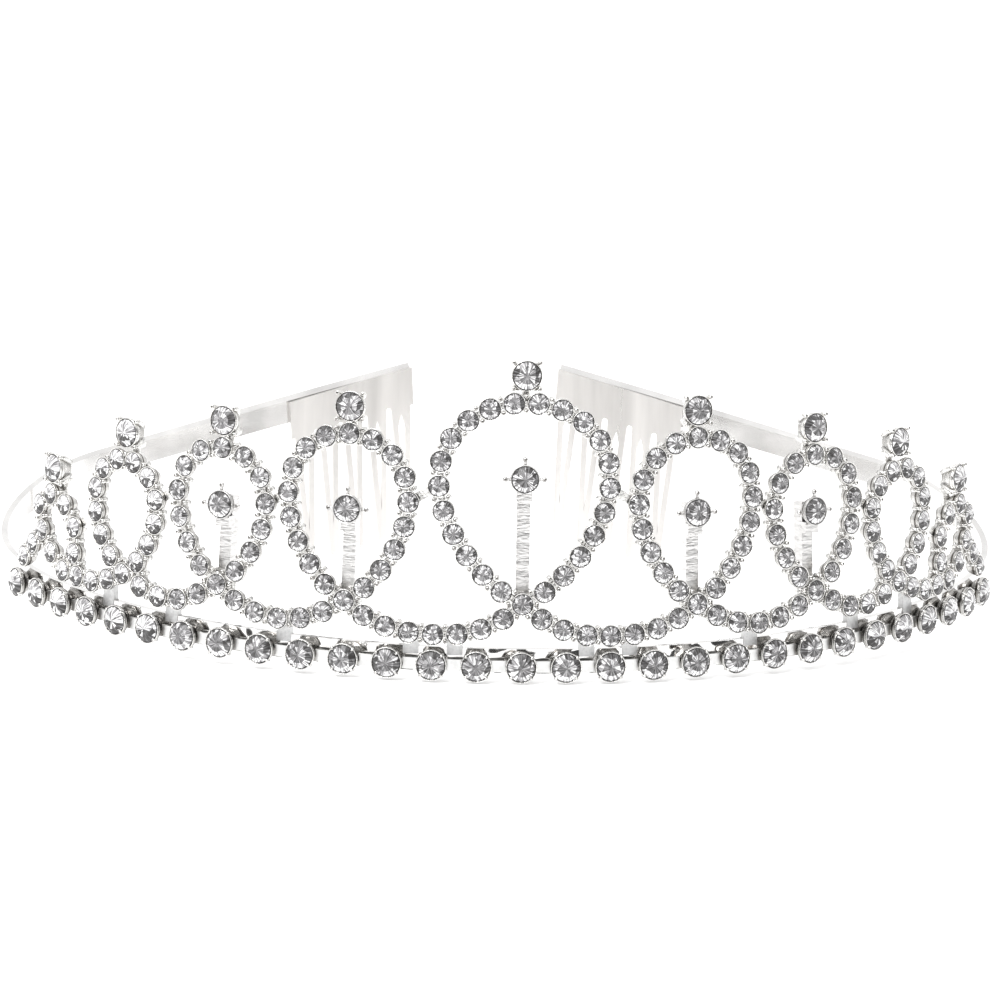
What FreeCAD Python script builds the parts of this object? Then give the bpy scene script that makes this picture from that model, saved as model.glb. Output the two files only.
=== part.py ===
import FreeCAD, Part

import math
import os

import Sketcher
from FreeCAD import Placement, Rotation, Vector

# Bridal tiara. A flat sprung headband is bent into a nearly closed oval, with a hair comb
# fixed inside each rear end. A chain of round stones in cups runs round the front of the
# band, and an openwork of nine teardrop loops of smaller stones stands on the band's top
# edge. Every loop carries a finial stone, and the five middle loops have a spike inside.
#
# Frame: +Z up, origin on the table under the middle of the tiara's box, front towards -Y.
# The tiara stands on the front cups of its chain and on the tips of its combs. Left and
# right are as seen from the front. Everything off the centre line is built on the right
# and mirrored to the left.
#
# A place on the tiara is given by three numbers, all in millimetres:
#   along    distance along the band's plan curve from its front centre, positive to +X
#   height   height above the centre line of the stone chain
#   out      distance outwards from the plan curve, which passes through the chain's faces

DRIVING_DIMENSIONS = [
    # plan curve of the band: a front arc, a corner arc and a rear arc on each side
    ("front_radius", 83.0),
    ("front_length", 99.0),
    ("corner_radius", 26.0),
    ("corner_length", 40.0),
    ("rear_radius", 400.0),
    ("rear_length", 53.5),
    # side view of the band: a gentle slope, then an arc that lifts the rear arms
    ("rest_slope", 3.8),
    ("rise_start", 40.0),
    ("rise_radius", 108.0),
    ("band_foot", 1.0),
    ("band_height", 3.6),
    ("band_thickness", 1.0),
    ("band_setback", 1.95),
    # stone chain
    ("chain_height", 2.3),
    ("chain_pitch", 6.6),
    ("chain_side_cups", 14),
    ("chain_stone_radius", 2.1),
    ("chain_cup_radius", 2.3),
    ("chain_cup_depth", 1.9),
    ("link_height", 1.7),
    ("link_thickness", 0.5),
    # small cups of the openwork
    ("openwork_setout", 0.6),
    ("openwork_lean", 3.3),
    ("small_stone_radius", 1.5),
    ("small_cup_radius", 1.7),
    ("small_cup_depth", 2.0),
    ("web_height", 1.4),
    ("web_thickness", 1.3),
    ("web_setback", 0.6),
    # cut stones: shares of the girdle radius
    ("crown_share", 0.42),
    ("table_share", 0.62),
    ("pavilion_share", 0.85),
    ("girdle_setback", 0.1),
    # finials and spikes
    ("finial_gap", 3.95),
    ("finial_stone_radius", 2.1),
    ("finial_basket_width", 4.5),
    ("finial_basket_depth", 2.6),
    ("finial_block_depth", 1.9),
    ("claw_width", 0.8),
    ("claw_length", 3.0),
    ("neck_width", 1.7),
    ("neck_thickness", 1.0),
    ("spike_bar_width", 2.0),
    ("spike_stone_radius", 1.95),
    ("spike_cup_radius", 2.15),
    ("spike_pin_radius", 0.3),
    ("spike_pin_reach", 3.3),
    ("solder_gap", 0.04),
    # bridges and mounting posts
    ("post_width", 2.3),
    ("post_height", 3.2),
    ("post_thickness", 1.0),
    # combs
    ("comb_pitch", 4.1),
    ("comb_slot_width", 0.9),
    ("comb_plate_height", 6.0),
    ("comb_thickness", 0.8),
    ("comb_length", 26.8),
    ("comb_tip_width", 1.5),
    ("comb_slit_width", 1.1),
    ("comb_slit_start", 9.0),
    ("comb_slit_end", 5.0),
    ("comb_slit_taper", 2.0),
    ("comb_end_margin", 0.6),
    ("comb_gap", 0.15),
    ("comb_drift", 0.07),
]

COMB_TEETH = 5

# Loops from the centre outwards: where the two sides cross, the height of the loop above
# its crossing, its half width, how far it leans outwards and how many stones go round it,
# with the stone at the crossing.
LOOPS = [
    {"along": 0.0, "foot": 9.4, "rise": 29.3, "half": 12.7, "lean": 0.0, "stones": 23},
    {"along": 26.3, "foot": 8.7, "rise": 24.4, "half": 9.2, "lean": 0.0, "stones": 18},
    {"along": 46.7, "foot": 8.7, "rise": 20.2, "half": 7.65, "lean": 0.0, "stones": 14},
    {"along": 64.4, "foot": 7.4, "rise": 17.0, "half": 6.4, "lean": 0.03, "stones": 13},
    {"along": 78.0, "foot": 5.2, "rise": 10.8, "half": 4.7, "lean": 0.36, "stones": 8},
]

# Swags hang between two crossings: lowest height, fullness of the curve, stones between.
SWAGS = [
    {"low": 4.65, "power": 2.5, "stones": 7},
    {"low": 5.05, "power": 2.0, "stones": 5},
    {"low": 5.1, "power": 1.6, "stones": 4},
    {"low": 5.0, "power": 1.4, "stones": 3},
]

# Height of the spike stone above the chain, for the loops that hold a spike.
SPIKE_HEIGHTS = [27.6, 22.1, 20.5]

# The posts stand half way between two chain cups, counted in cup pitches from the centre.
POST_PLACES = [1.5, 2.5, 5.5, 8.5, 10.5]

# The end brace runs from an outer stone of the last loop to a foot near the chain's end.
BRACE_LOOP_STONE = 2
BRACE_STONES = 2
BRACE_FOOT_INSET = 1.0
BRACE_FOOT_HEIGHT = 2.9
BRACE_FOOT_SHARE = 0.8

# Shape of the teardrop, and how finely the curves are walked to space their stones.
TEARDROP_POWER = 0.6
CURVE_STEPS = 720

# Overlaps of soldered pieces: a post with the band, and a finial's neck with its loop.
POST_ROOT = 1.0
NECK_OVERLAP = 1.0
PIN_SETBACK = 0.5

# Bars between cups start this share of the cup's radius from its centre.
BAR_INSET = 0.7

# Room left round the band's blank where the side view trims it.
TRIM_MARGIN = 10.0

doc = FreeCAD.newDocument("bridal_tiara")
sheet = doc.addObject("Spreadsheet::Sheet", "Sheet")
for row, (alias, number) in enumerate(DRIVING_DIMENSIONS, start=1):
    sheet.set("A%d" % row, alias)
    sheet.set("B%d" % row, str(number))
    sheet.setAlias("B%d" % row, alias)
doc.recompute()

SIZE = {alias: float(sheet.get(alias)) for alias, _ in DRIVING_DIMENSIONS}


# ---------------------------------------------------------------- the tiara's shape

def band_end():
    return SIZE["front_length"] + SIZE["corner_length"] + SIZE["rear_length"]


def outward(heading, lean=0.0):
    flat = Vector(math.sin(heading), -math.cos(heading), 0)
    return flat * math.cos(lean) + Vector(0, 0, math.sin(lean))


def plan_arcs():
    """The right half of the plan curve: centre, radius, first and last heading of each arc."""
    arcs = []
    heading = 0.0
    point = Vector(0, 0, 0)
    for name in ("front", "corner", "rear"):
        radius = SIZE[name + "_radius"]
        turned = heading + SIZE[name + "_length"] / radius
        centre = point - outward(heading) * radius
        arcs.append({"name": name, "centre": centre, "radius": radius,
                     "start": heading, "end": turned})
        point = centre + outward(turned) * radius
        heading = turned
    return arcs


ARCS = plan_arcs()


def plan_point(along):
    """Point of the plan curve, from its front centre, and its heading."""
    left = along
    for arc in ARCS:
        length = (arc["end"] - arc["start"]) * arc["radius"]
        if left <= length or arc is ARCS[-1]:
            break
        left -= length
    heading = arc["start"] + left / arc["radius"]
    return arc["centre"] + outward(heading) * arc["radius"], heading


def box_middle():
    """Depth of the box's middle behind the front of the plan curve."""
    front = SIZE["chain_stone_radius"] * SIZE["crown_share"] - SIZE["girdle_setback"]
    end, heading = plan_point(band_end())
    rear = (end - outward(heading) * SIZE["band_setback"]).y
    return (rear - front) / 2


def rise_arc():
    """Centre of the arc that lifts the rear of the band, in the side view."""
    slope = math.radians(SIZE["rest_slope"])
    radius = SIZE["rise_radius"]
    start = SIZE["rise_start"]
    return start - radius * math.sin(slope), start * math.tan(slope) + radius * math.cos(slope)


def lift(y):
    """How far the band at depth y has risen above its front."""
    if y <= SIZE["rise_start"]:
        return y * math.tan(math.radians(SIZE["rest_slope"]))
    centre_y, centre_z = rise_arc()
    return centre_z - math.sqrt(SIZE["rise_radius"] ** 2 - (y - centre_y) ** 2)


def band_top():
    """Height of the band's top edge above the table at the front."""
    return SIZE["band_foot"] + SIZE["band_height"]


def tangent(heading):
    return Vector(math.cos(heading), math.sin(heading), 0)


def axes_placement(point, right, normal):
    """Placement with local Z along the normal and local X as near as possible to right."""
    up = normal.cross(right)
    up.normalize()
    right = up.cross(normal)
    return Placement(point, Rotation(right, up, normal, "ZXY"))


def raised_point(along, height):
    """Point over the plan curve, at a height above the chain's centre line, and heading."""
    side = -1.0 if along < 0 else 1.0
    point, heading = plan_point(abs(along))
    level = lift(point.y) + SIZE["chain_height"] + height
    return Vector(side * point.x, point.y - box_middle(), level), side * heading


def chain_place(along, height=0.0, out=0.0):
    """Placement on the band, with local Z pointing outwards and local Y up."""
    point, heading = raised_point(along, height)
    normal = outward(heading)
    return axes_placement(point + normal * out, tangent(heading), normal)


def openwork_place(along, height):
    """Placement on the leaning face of the openwork; local Z points outwards."""
    lean = math.radians(SIZE["openwork_lean"])
    point, heading = raised_point(along, height)
    setout = SIZE["openwork_setout"] - height * math.tan(lean)
    return axes_placement(point + outward(heading) * setout, tangent(heading),
                          outward(heading, lean))


def spread(curve, count, closed):
    """Even places along an (along, height) curve: all round it, or between its ends."""
    lengths = [0.0]
    for a, b in zip(curve, curve[1:]):
        lengths.append(lengths[-1] + math.dist(a, b))
    divisions = count if closed else count + 1
    first = 0 if closed else 1
    places = []
    at = 0
    for n in range(first, first + count):
        target = lengths[-1] * n / divisions
        while lengths[at + 1] < target:
            at += 1
        share = (target - lengths[at]) / (lengths[at + 1] - lengths[at])
        places.append(tuple(p + (q - p) * share for p, q in zip(curve[at], curve[at + 1])))
    return places


def teardrop(loop):
    """Outline of a loop: round at the top and narrowing to its crossing."""
    widest = max(math.sin(t) * math.sin(t / 2) ** TEARDROP_POWER
                 for t in [math.pi * n / CURVE_STEPS for n in range(CURVE_STEPS)])
    curve = []
    for n in range(CURVE_STEPS + 1):
        turn = 2 * math.pi * n / CURVE_STEPS
        height = loop["rise"] * (1 - math.cos(turn)) / 2
        bulge = math.sin(turn) * abs(math.sin(turn / 2)) ** TEARDROP_POWER / widest
        curve.append((loop["along"] + loop["half"] * bulge + loop["lean"] * height,
                      loop["foot"] + height))
    return curve


def loop_stones(loop):
    return spread(teardrop(loop), loop["stones"], closed=True)


def loop_top(loop):
    return loop["along"] + loop["lean"] * loop["rise"], loop["foot"] + loop["rise"]


def swag_stones(index):
    swag = SWAGS[index]
    start = LOOPS[index]
    end = LOOPS[index + 1]
    curve = []
    for n in range(CURVE_STEPS + 1):
        reach = 2 * n / CURVE_STEPS - 1
        foot = start["foot"] if reach < 0 else end["foot"]
        along = start["along"] + (end["along"] - start["along"]) * n / CURVE_STEPS
        curve.append((along, swag["low"] + (foot - swag["low"]) * abs(reach) ** swag["power"]))
    return spread(curve, swag["stones"], closed=False)


def brace_ends():
    chain_end = SIZE["chain_side_cups"] * SIZE["chain_pitch"]
    return (loop_stones(LOOPS[-1])[BRACE_LOOP_STONE],
            (chain_end - BRACE_FOOT_INSET, BRACE_FOOT_HEIGHT))


def brace_stones():
    start, end = brace_ends()
    steps = BRACE_STONES + BRACE_FOOT_SHARE
    return [tuple(p + (q - p) * (n + 1) / steps for p, q in zip(start, end))
            for n in range(BRACE_STONES)]


def on_openwork(places):
    return [openwork_place(along, height) for along, height in places]


# ---------------------------------------------------------------- building blocks

def primitive(kind, placement, **sizes):
    """A Part primitive whose sizes are expressions on the sheet."""
    thing = doc.addObject("Part::" + kind, kind)
    for prop, expression in sizes.items():
        thing.setExpression(prop, expression)
    thing.Placement = placement
    return thing


def fused(things):
    if len(things) == 1:
        return things[0]
    group = doc.addObject("Part::MultiFuse", "Fuse")
    group.Shapes = things
    return group


def gathered(things):
    group = doc.addObject("Part::Compound", "Group")
    group.Links = things
    return group


def cut(base, tool):
    result = doc.addObject("Part::Cut", "Cut")
    result.Base = base
    result.Tool = tool
    return result


def shifted(placement, x=0.0, y=0.0, z=0.0):
    return placement.multiply(Placement(Vector(x, y, z), Rotation()))


def cup(kind, place):
    """A round cup: its open face lies on the place and its body goes back from there."""
    depth = SIZE[cup_depth_name(kind)]
    return primitive("Cylinder", shifted(place, z=-depth),
                     Radius="Sheet.%s_cup_radius" % kind,
                     Height="Sheet." + cup_depth_name(kind))


def cup_depth_name(kind):
    return "chain_cup_depth" if kind == "chain" else "small_cup_depth"


def clearance(places):
    """Room for the small cups of a neighbouring casting, with the gap that solder fills."""
    rooms = []
    for place in places:
        room = cup("small", shifted(place, z=SIZE["small_cup_depth"] / 2))
        room.setExpression("Radius", "Sheet.small_cup_radius + Sheet.solder_gap")
        room.setExpression("Height", "Sheet.small_cup_depth * 2")
        rooms.append(room)
    return gathered(rooms)


def cut_stones(kind, places):
    """Round cut stones, each with a flat table, a sloping crown and a pointed back."""
    radius = "Sheet.%s_stone_radius" % kind
    solids = []
    for place in places:
        girdle = shifted(place, z=-SIZE["girdle_setback"])
        solids.append(primitive("Cone", girdle, Radius1=radius,
                                Radius2=radius + " * Sheet.table_share",
                                Height=radius + " * Sheet.crown_share"))
        pavilion = girdle.multiply(Placement(Vector(), Rotation(Vector(1, 0, 0), 180)))
        solids.append(primitive("Cone", pavilion, Radius1=radius, Radius2="0",
                                Height=radius + " * Sheet.pavilion_share"))
    return fused(solids)


def bar_between(first, last, kind, cup_radius, setback):
    """A flat bar between two cups, running a little way into each."""
    span = last.Base - first.Base
    normal = first.Rotation.multVec(Vector(0, 0, 1)) + last.Rotation.multVec(Vector(0, 0, 1))
    normal.normalize()
    place = axes_placement(first.Base, span, normal)
    inset = BAR_INSET * cup_radius
    corner = shifted(place, x=inset, y=-SIZE[kind + "_height"] / 2,
                     z=-setback - SIZE[kind + "_thickness"])
    bar = primitive("Box", corner, Width="Sheet.%s_height" % kind,
                    Height="Sheet.%s_thickness" % kind)
    bar.Length = span.Length - 2 * inset
    return bar


def webs(places):
    """Solder webs between neighbouring small cups."""
    return [bar_between(a, b, "web", SIZE["small_cup_radius"], SIZE["web_setback"])
            for a, b in zip(places, places[1:])]


NODES = []
FINIAL_STONES = []
SPIKE_STONES = []


def named(thing, label):
    thing.Label = label
    NODES.append((label, thing))
    return thing


def mirrored(thing):
    image = doc.addObject("Part::Mirroring", "Mirror")
    image.Source = thing
    image.Normal = (1, 0, 0)
    return image


def with_images(things):
    return things + [mirrored(thing) for thing in things]


def keep(thing, label, central=False):
    """Name a piece, and its mirror image unless it stands on the centre line."""
    if central:
        named(thing, label + "_centre")
    else:
        named(thing, label + "_right")
        named(mirrored(thing), label + "_left")


# ---------------------------------------------------------------- headband and combs

def add_origin_sketch(body, name, role):
    sketch = body.newObject("Sketcher::SketchObject", name)
    plane = [item for item in body.Origin.OriginFeatures if item.Role == role][0]
    sketch.AttachmentSupport = (plane, "")
    sketch.MapMode = "FlatFace"
    return sketch


def bind_radius(sketch, geometry, expression):
    """Bind an arc's radius to the sheet."""
    radius = sketch.Geometry[geometry].Radius
    index = sketch.addConstraint(Sketcher.Constraint("Radius", geometry, radius))
    name = "radius_%d" % geometry
    sketch.renameConstraint(index, name)
    sketch.setExpression("Constraints." + name, expression)


def headband():
    """A flat strip on edge: the plan outline, cut to the side view's rise."""
    body = doc.addObject("PartDesign::Body", "HeadbandBody")
    plan = add_origin_sketch(body, "BandPlan", "XY_Plane")
    faces = {"outer": SIZE["band_setback"],
             "inner": SIZE["band_setback"] + SIZE["band_thickness"]}
    sheet_faces = {"outer": "Sheet.band_setback",
                   "inner": "(Sheet.band_setback + Sheet.band_thickness)"}
    ends = {}
    for face, inset in faces.items():
        for arc in ARCS:
            sides = (1.0,) if arc["name"] == "front" else (1.0, -1.0)
            for side in sides:
                centre = Vector(side * arc["centre"].x, arc["centre"].y, 0)
                low = arc["start"] - math.pi / 2
                high = arc["end"] - math.pi / 2
                if arc["name"] == "front":
                    low = -math.pi - high
                elif side < 0:
                    low, high = math.pi - high, math.pi - low
                circle = Part.Circle(centre, Vector(0, 0, 1), arc["radius"] - inset)
                index = plan.addGeometry(Part.ArcOfCircle(circle, low, high))
                bind_radius(plan, index, "Sheet.%s_radius - %s" % (arc["name"], sheet_faces[face]))
        end, heading = plan_point(band_end())
        ends[face] = end - outward(heading) * inset
    for side in (1.0, -1.0):
        line = [Vector(side * ends[face].x, ends[face].y, 0) for face in ("outer", "inner")]
        plan.addGeometry(Part.LineSegment(line[0], line[1]))
    pad = body.newObject("PartDesign::Pad", "BandBlank")
    pad.Profile = plan
    pad.Length = blank_height()
    body.Tip = pad
    doc.recompute()

    trim = add_origin_sketch(body, "BandTrim", "YZ_Plane")
    centre_y, centre_z = rise_arc()
    start = -TRIM_MARGIN
    back = plan_point(band_end())[0].y + TRIM_MARGIN
    levels = ((SIZE["band_foot"], -TRIM_MARGIN), (band_top(), blank_height() + TRIM_MARGIN))
    for level, far in levels:
        low = -math.pi / 2 + math.radians(SIZE["rest_slope"])
        high = -math.acos((back - centre_y) / SIZE["rise_radius"])
        circle = Part.Circle(Vector(centre_y, centre_z + level, 0), Vector(0, 0, 1),
                             SIZE["rise_radius"])
        corners = [Vector(back, level + lift(back), 0), Vector(back, far, 0),
                   Vector(start, far, 0), Vector(start, level + lift(start), 0),
                   Vector(SIZE["rise_start"], level + lift(SIZE["rise_start"]), 0)]
        for a, b in zip(corners, corners[1:]):
            trim.addGeometry(Part.LineSegment(a, b))
        index = trim.addGeometry(Part.ArcOfCircle(circle, low, high))
        bind_radius(trim, index, "Sheet.rise_radius")
    pocket = body.newObject("PartDesign::Pocket", "BandRise")
    pocket.Profile = trim
    pocket.Type = "ThroughAll"
    pocket.Midplane = True
    body.Tip = pocket
    body.Placement = Placement(Vector(0, -box_middle(), 0), Rotation())
    return named(body, "headband")


def blank_height():
    """Tall enough for the band's highest point, at the tips of the rear arms."""
    return lift(plan_point(band_end())[0].y) + band_top() + TRIM_MARGIN


def comb_outline(sketch, slope):
    """A plate with split teeth: every tooth is two prongs that close to a round tip.

    The whole outline is sheared, so that the plate's top edge follows the band's slope and
    the upright teeth drift a little towards the gap between the combs.
    """
    half_slot = SIZE["comb_slot_width"] / 2
    half_tip = SIZE["comb_tip_width"] / 2
    half_slit = SIZE["comb_slit_width"] / 2
    plate = -SIZE["comb_plate_height"]
    tip = -SIZE["comb_length"] + half_tip
    slit_top = -SIZE["comb_slit_start"]
    slit_peak = slit_top + SIZE["comb_slit_taper"]
    slit_foot = -SIZE["comb_length"] + SIZE["comb_slit_end"]
    margin = SIZE["comb_end_margin"]
    width = COMB_TEETH * SIZE["comb_pitch"] - SIZE["comb_slot_width"]

    def point(x, y):
        return Vector(x - SIZE["comb_drift"] * y, y + slope * x, 0)

    def chain(*corners):
        points = [point(x, y) for x, y in corners]
        for a, b in zip(points, points[1:]):
            sketch.addGeometry(Part.LineSegment(a, b))

    def half_round(x, y, radius, start):
        """A half circle from one end of a sheared line to the other."""
        ends = point(x - radius, y), point(x + radius, y)
        circle = Part.Circle((ends[0] + ends[1]) / 2, Vector(0, 0, 1),
                             ends[0].distanceToPoint(ends[1]) / 2)
        low = math.atan(slope) + start
        sketch.addGeometry(Part.ArcOfCircle(circle, low, low + math.pi))

    chain((0, plate), (-margin, plate), (-margin, 0), (width + margin, 0),
          (width + margin, plate), (width, plate))
    for n in range(COMB_TEETH):
        left = n * SIZE["comb_pitch"]
        right = left + SIZE["comb_pitch"] - SIZE["comb_slot_width"]
        middle = (left + right) / 2
        chain((left, plate), (middle - half_tip, tip))
        half_round(middle, tip, half_tip, math.pi)
        chain((middle + half_tip, tip), (right, plate))
        if n < COMB_TEETH - 1:
            half_round(right + half_slot, plate, half_slot, 0.0)
        chain((middle, slit_peak), (middle - half_slit, slit_top), (middle, slit_foot),
              (middle + half_slit, slit_top), (middle, slit_peak))


def combs():
    """The plates hang against the band's inner face, their top edges level with the band's."""
    half = (COMB_TEETH * SIZE["comb_pitch"] - SIZE["comb_slot_width"]) / 2
    middle = band_end() - SIZE["comb_end_margin"] - half
    reach = half / 2
    rise = raised_point(middle + reach, 0)[0].z - raised_point(middle - reach, 0)[0].z
    body = doc.addObject("PartDesign::Body", "CombBody")
    sketch = add_origin_sketch(body, "CombOutline", "XY_Plane")
    comb_outline(sketch, rise / half)
    pad = body.newObject("PartDesign::Pad", "CombPlate")
    pad.Profile = sketch
    pad.setExpression("Length", "Sheet.comb_thickness")
    body.Tip = pad
    inner = SIZE["band_setback"] + SIZE["band_thickness"]
    edge_depth = chain_place(middle, 0.0, -inner).Base.y + box_middle()
    place = chain_place(middle, 0.0, -inner - SIZE["comb_gap"] - SIZE["comb_thickness"])
    place.Base = Vector(place.Base.x, place.Base.y, lift(edge_depth) + band_top())
    body.Placement = shifted(place, x=-half, y=-rise)
    keep(body, "comb")


# ---------------------------------------------------------------- stone chain

def stone_chain():
    """One row of cups round the front, joined by flat links, with a stone in every cup."""
    side_cups = int(SIZE["chain_side_cups"])
    places = [chain_place(n * SIZE["chain_pitch"]) for n in range(-side_cups, side_cups + 1)]
    stones = named(cut_stones("chain", places), "chain_stones")
    cups = gathered([cup("chain", place) for place in places])
    setback = SIZE["chain_cup_depth"] - 2 * SIZE["link_thickness"]
    links = gathered([bar_between(a, b, "link", SIZE["chain_cup_radius"], setback)
                      for a, b in zip(places, places[1:])])
    named(cut(cups, stones), "chain_cups")
    named(cut(links, cups), "chain_links")


# ---------------------------------------------------------------- openwork

def beadwork(places, path, stones, clear=None):
    """Cups and webs in one casting, with seats for its stones."""
    casting = fused([cup("small", place) for place in places] + webs(path))
    if clear:
        casting = cut(casting, clearance(clear))
    return cut(casting, stones)


def loops():
    """Every loop with its stones, its finial and, in the middle five, its spike."""
    for index, loop in enumerate(LOOPS):
        central = index == 0
        number = "_%d" % (index + 1)
        places = on_openwork(loop_stones(loop))
        stones = cut_stones("small", places)
        keep(stones, "stones_loop" + number, central)
        keep(beadwork(places, places + places[:1], stones), "loop" + number, central)
        basket, stone = finial(loop)
        keep(basket, "finial" + number, central)
        FINIAL_STONES.extend([stone] if central else with_images([stone]))
        if index < len(SPIKE_HEIGHTS):
            rod, stone = spike(loop, SPIKE_HEIGHTS[index])
            keep(rod, "spike" + number, central)
            SPIKE_STONES.extend([stone] if central else with_images([stone]))


def swags():
    """Swags between neighbouring loops, and a brace from the last loop to the chain."""
    runs = []
    for index in range(len(SWAGS)):
        feet = on_openwork([(loop["along"], loop["foot"]) for loop in LOOPS[index:index + 2]])
        places = on_openwork(swag_stones(index))
        runs.append(("swag_%d" % (index + 1), places, [feet[0]] + places + [feet[1]], feet))
    start, end = on_openwork(brace_ends())
    places = on_openwork(brace_stones())
    runs.append(("end_brace", places, [start] + places + [end], [start]))
    stones = cut_stones("small", [place for run in runs for place in run[1]])
    keep(stones, "swag_stones")
    for label, places, path, clear in runs:
        keep(beadwork(places, path, stones, clear), label)


def bridges():
    """Short bars between neighbouring loops, where their cups come closest."""
    bars = []
    for inner, outer in zip(LOOPS, LOOPS[1:]):
        pairs = [(math.dist(a, b), a, b) for a in loop_stones(inner) for b in loop_stones(outer)
                 if min(a[1], b[1]) > inner["foot"] + outer["half"]]
        ends = on_openwork(min(pairs)[1:])
        bars.append(cut(webs(ends)[0], clearance(ends)))
    named(gathered(with_images(bars)), "bridge_bars")


def posts(band):
    """Posts on the band's top edge, behind the low points of the swags."""
    foot = band_top() - SIZE["chain_height"] - POST_ROOT
    back = -SIZE["band_setback"] - SIZE["post_thickness"] + SIZE["solder_gap"]
    blocks = []
    for place in POST_PLACES:
        at = chain_place(place * SIZE["chain_pitch"], foot, back)
        block = primitive("Box", shifted(at, x=-SIZE["post_width"] / 2),
                          Length="Sheet.post_width", Width="Sheet.post_height + %s" % POST_ROOT,
                          Height="Sheet.post_thickness")
        blocks.append(block)
    named(cut(gathered(with_images(blocks)), band), "mounting_posts")


def finial(loop):
    """A round stone in a square basket with a claw at each corner, on a neck behind."""
    along, top = loop_top(loop)
    place = openwork_place(along, top + SIZE["finial_gap"])
    half = SIZE["finial_basket_width"] / 2
    depth = SIZE["finial_basket_depth"]
    claw = SIZE["claw_width"]
    parts = [primitive("Box", shifted(place, x=-half, y=-half, z=-depth),
                       Length="Sheet.finial_basket_width", Width="Sheet.finial_basket_width",
                       Height="Sheet.finial_block_depth")]
    for x in (-half, half - claw):
        for y in (-half, half - claw):
            parts.append(primitive("Box", shifted(place, x=x, y=y, z=-depth),
                                   Length="Sheet.claw_width", Width="Sheet.claw_width",
                                   Height="Sheet.claw_length"))
    back = -SIZE["small_cup_depth"] - SIZE["neck_thickness"] - SIZE["solder_gap"]
    neck = shifted(openwork_place(along, top - NECK_OVERLAP), x=-SIZE["neck_width"] / 2, z=back)
    parts.append(primitive("Box", neck, Length="Sheet.neck_width",
                           Width="Sheet.finial_gap + %s" % NECK_OVERLAP,
                           Height="Sheet.neck_thickness"))
    stone = cut_stones("finial", [place])
    return cut(fused(parts), stone), stone


def spike(loop, height):
    """A square bar up from behind the crossing to a stone with pins at its sides and top."""
    half = SIZE["spike_bar_width"] / 2
    foot = loop["foot"] - SIZE["small_cup_radius"]
    back = SIZE["small_cup_depth"] + SIZE["solder_gap"]
    place = openwork_place(loop["along"], height)
    corner = shifted(openwork_place(loop["along"], foot), x=-half,
                     z=-back - SIZE["spike_bar_width"])
    bar = primitive("Box", corner, Length="Sheet.spike_bar_width",
                    Height="Sheet.spike_bar_width")
    bar.Width = height - foot + SIZE["spike_cup_radius"]
    seat = primitive("Cylinder", shifted(place, z=-back), Radius="Sheet.spike_cup_radius",
                     Height="Sheet.small_cup_depth + Sheet.solder_gap")
    parts = [bar, seat]
    for turn in (0, 90, 180):
        pin = place.multiply(Placement(Vector(), Rotation(Vector(0, 0, 1), turn)))
        pin = pin.multiply(Placement(Vector(0, 0, -PIN_SETBACK), Rotation(Vector(0, 1, 0), 90)))
        parts.append(primitive("Cylinder", pin, Radius="Sheet.spike_pin_radius",
                               Height="Sheet.spike_pin_reach"))
    stone = cut_stones("spike", [place])
    return cut(fused(parts), stone), stone


band = headband()
combs()
stone_chain()
loops()
swags()
bridges()
posts(band)
named(gathered(FINIAL_STONES), "finial_stones")
named(gathered(SPIKE_STONES), "spike_stones")
doc.recompute()


# ---------------------------------------------------------------- check and write

def faults():
    found = []
    for thing in doc.Objects:
        if "Invalid" in thing.State or "Error" in thing.State:
            found.append("%s %s: %s" % (thing.Name, thing.Label, thing.State))
    for label, thing in NODES:
        if thing.Shape.isNull() or not thing.Shape.isValid() or not thing.Shape.Solids:
            found.append("%s has no valid solid" % label)
    return found


problems = faults()
if problems:
    raise RuntimeError("\n".join(problems))

os.makedirs("parts", exist_ok=True)
for label, thing in NODES:
    thing.Shape.exportStep(os.path.join("parts", label + ".step"))
    print(label, len(thing.Shape.Solids), "solids", round(thing.Shape.Volume, 1), "mm3")
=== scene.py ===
import math
import random

import bmesh
import bpy
import numpy as np
from mathutils import Matrix, Vector


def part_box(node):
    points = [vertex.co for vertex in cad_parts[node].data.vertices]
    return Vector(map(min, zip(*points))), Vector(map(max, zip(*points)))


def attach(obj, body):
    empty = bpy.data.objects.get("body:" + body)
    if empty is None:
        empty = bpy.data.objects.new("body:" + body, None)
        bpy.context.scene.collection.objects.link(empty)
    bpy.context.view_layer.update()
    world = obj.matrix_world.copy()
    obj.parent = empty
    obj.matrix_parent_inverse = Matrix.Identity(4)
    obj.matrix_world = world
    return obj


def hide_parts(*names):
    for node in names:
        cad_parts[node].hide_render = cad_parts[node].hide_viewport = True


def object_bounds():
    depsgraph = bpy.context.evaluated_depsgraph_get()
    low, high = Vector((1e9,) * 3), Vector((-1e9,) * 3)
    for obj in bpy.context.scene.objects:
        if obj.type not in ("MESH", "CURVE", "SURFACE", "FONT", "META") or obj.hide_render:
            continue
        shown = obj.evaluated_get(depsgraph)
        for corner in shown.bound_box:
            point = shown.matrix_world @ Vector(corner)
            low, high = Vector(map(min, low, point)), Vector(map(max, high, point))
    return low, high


# Bridal tiara. The CAD model gives the place of every stone; this script cuts the stones,
# turns their cups, adds beads, claws and pins, and finishes the metal. All in metres.

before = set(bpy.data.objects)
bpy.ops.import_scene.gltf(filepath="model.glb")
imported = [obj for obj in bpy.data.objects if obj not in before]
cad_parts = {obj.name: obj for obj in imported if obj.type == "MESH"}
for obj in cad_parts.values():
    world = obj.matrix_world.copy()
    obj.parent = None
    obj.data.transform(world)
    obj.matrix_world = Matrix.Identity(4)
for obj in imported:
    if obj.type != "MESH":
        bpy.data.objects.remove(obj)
CAD_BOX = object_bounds()

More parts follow.
